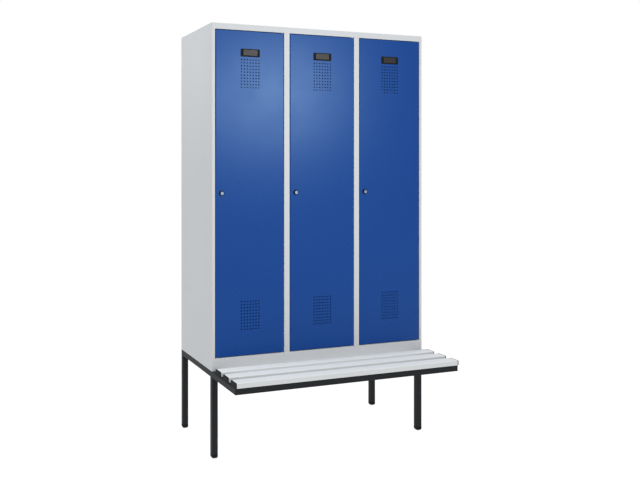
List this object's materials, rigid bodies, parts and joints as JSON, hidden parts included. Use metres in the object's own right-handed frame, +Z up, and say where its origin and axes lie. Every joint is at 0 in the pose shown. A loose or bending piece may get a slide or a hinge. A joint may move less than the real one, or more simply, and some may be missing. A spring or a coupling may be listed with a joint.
{
  "type": "locker with bench",
  "caption": "Steel cloakroom locker with inset hinged doors, on a tubular base that carries a slatted bench in front.",
  "frame": {"origin": "on the floor, under the middle of the object's box", "axes": "+Z up, +X to the right as seen from the doors, -Y out of the doors and over the bench, +Y towards the wall"},
  "size_m": [1.2, 0.815, 2.1253],
  "materials": {
    "grey_paint": "light grey powder coat, satin",
    "blue_paint": "gentian blue powder coat, satin",
    "anthracite_paint": "black-grey powder coat, satin",
    "slat": "light grey profile, fine satin",
    "black_plastic": "moulded, fine grain",
    "bright_metal": "polished",
    "zinc": "zinc-plated steel"
  },
  "bodies": {
    "cabinet": {"side_rail_left": "anthracite_paint", "side_rail_right": "anthracite_paint", "bench_front_rail": "anthracite_paint", "middle_cross_rail": "anthracite_paint", "rear_cross_rail": "anthracite_paint", "leg_front_left": "anthracite_paint", "leg_front_right": "anthracite_paint", "leg_rear_left": "anthracite_paint", "leg_rear_right": "anthracite_paint", "glide_front_left": "black_plastic", "glide_front_right": "black_plastic", "glide_rear_left": "black_plastic", "glide_rear_right": "black_plastic", "slat_front": "slat", "slat_middle": "slat", "slat_rear": "slat", "slat_cap_front_left": "black_plastic", "slat_cap_front_right": "black_plastic", "slat_cap_middle_left": "black_plastic", "slat_cap_middle_right": "black_plastic", "slat_cap_rear_left": "black_plastic", "slat_cap_rear_right": "black_plastic", "side_panel_left": "grey_paint", "side_panel_right": "grey_paint", "partition_left_middle": "grey_paint", "partition_middle_right": "grey_paint", "top_panel": "grey_paint", "bottom_panel": "grey_paint", "back_panel": "grey_paint", "hat_shelf_left": "grey_paint", "hat_shelf_middle": "grey_paint", "hat_shelf_right": "grey_paint", "clothes_rail_left": "zinc", "clothes_rail_middle": "zinc", "clothes_rail_right": "zinc"},
    "door_left": {"door_left": "blue_paint", "door_stiffener_left": "blue_paint", "label_holder_left": "black_plastic", "lock_housing_left": "black_plastic", "hinge_pin_lower_left": "zinc", "hinge_pin_upper_left": "zinc"},
    "door_middle": {"door_middle": "blue_paint", "door_stiffener_middle": "blue_paint", "label_holder_middle": "black_plastic", "lock_housing_middle": "black_plastic", "hinge_pin_lower_middle": "zinc", "hinge_pin_upper_middle": "zinc"},
    "door_right": {"door_right": "blue_paint", "door_stiffener_right": "blue_paint", "label_holder_right": "black_plastic", "lock_housing_right": "black_plastic", "hinge_pin_lower_right": "zinc", "hinge_pin_upper_right": "zinc"},
    "lock_left": {"lock_core_left": "bright_metal"},
    "lock_middle": {"lock_core_middle": "bright_metal"},
    "lock_right": {"lock_core_right": "bright_metal"},
    "hook_left": {"coat_hook_left": "zinc"},
    "hook_middle": {"coat_hook_middle": "zinc"},
    "hook_right": {"coat_hook_right": "zinc"}
  },
  "joints": [
    {"name": "door_left_hinge", "type": "hinge", "parent": "cabinet", "child": "door_left", "pos_m": [-0.226, -0.0865, 1.2918], "axis": [0, 0, 1], "range_deg": [0, 110]},
    {"name": "door_middle_hinge", "type": "hinge", "parent": "cabinet", "child": "door_middle", "pos_m": [0.174, -0.0865, 1.2918], "axis": [0, 0, 1], "range_deg": [0, 110]},
    {"name": "door_right_hinge", "type": "hinge", "parent": "cabinet", "child": "door_right", "pos_m": [0.574, -0.0865, 1.2918], "axis": [0, 0, 1], "range_deg": [0, 110]},
    {"name": "lock_left_turn", "type": "hinge", "parent": "door_left", "child": "lock_left", "pos_m": [-0.551, -0.0865, 1.2918], "axis": [0, 1, 0], "range_deg": [0, 90]},
    {"name": "lock_middle_turn", "type": "hinge", "parent": "door_middle", "child": "lock_middle", "pos_m": [-0.151, -0.0865, 1.2918], "axis": [0, 1, 0], "range_deg": [0, 90]},
    {"name": "lock_right_turn", "type": "hinge", "parent": "door_right", "child": "lock_right", "pos_m": [0.249, -0.0865, 1.2918], "axis": [0, 1, 0], "range_deg": [0, 90]},
    {"name": "hook_left_slide", "type": "slide", "parent": "cabinet", "child": "hook_left", "axis": [1, 0, 0], "range_m": [-0.19, 0.19]},
    {"name": "hook_middle_slide", "type": "slide", "parent": "cabinet", "child": "hook_middle", "axis": [1, 0, 0], "range_m": [-0.19, 0.19]},
    {"name": "hook_right_slide", "type": "slide", "parent": "cabinet", "child": "hook_right", "axis": [1, 0, 0], "range_m": [-0.19, 0.19]}
  ]
}
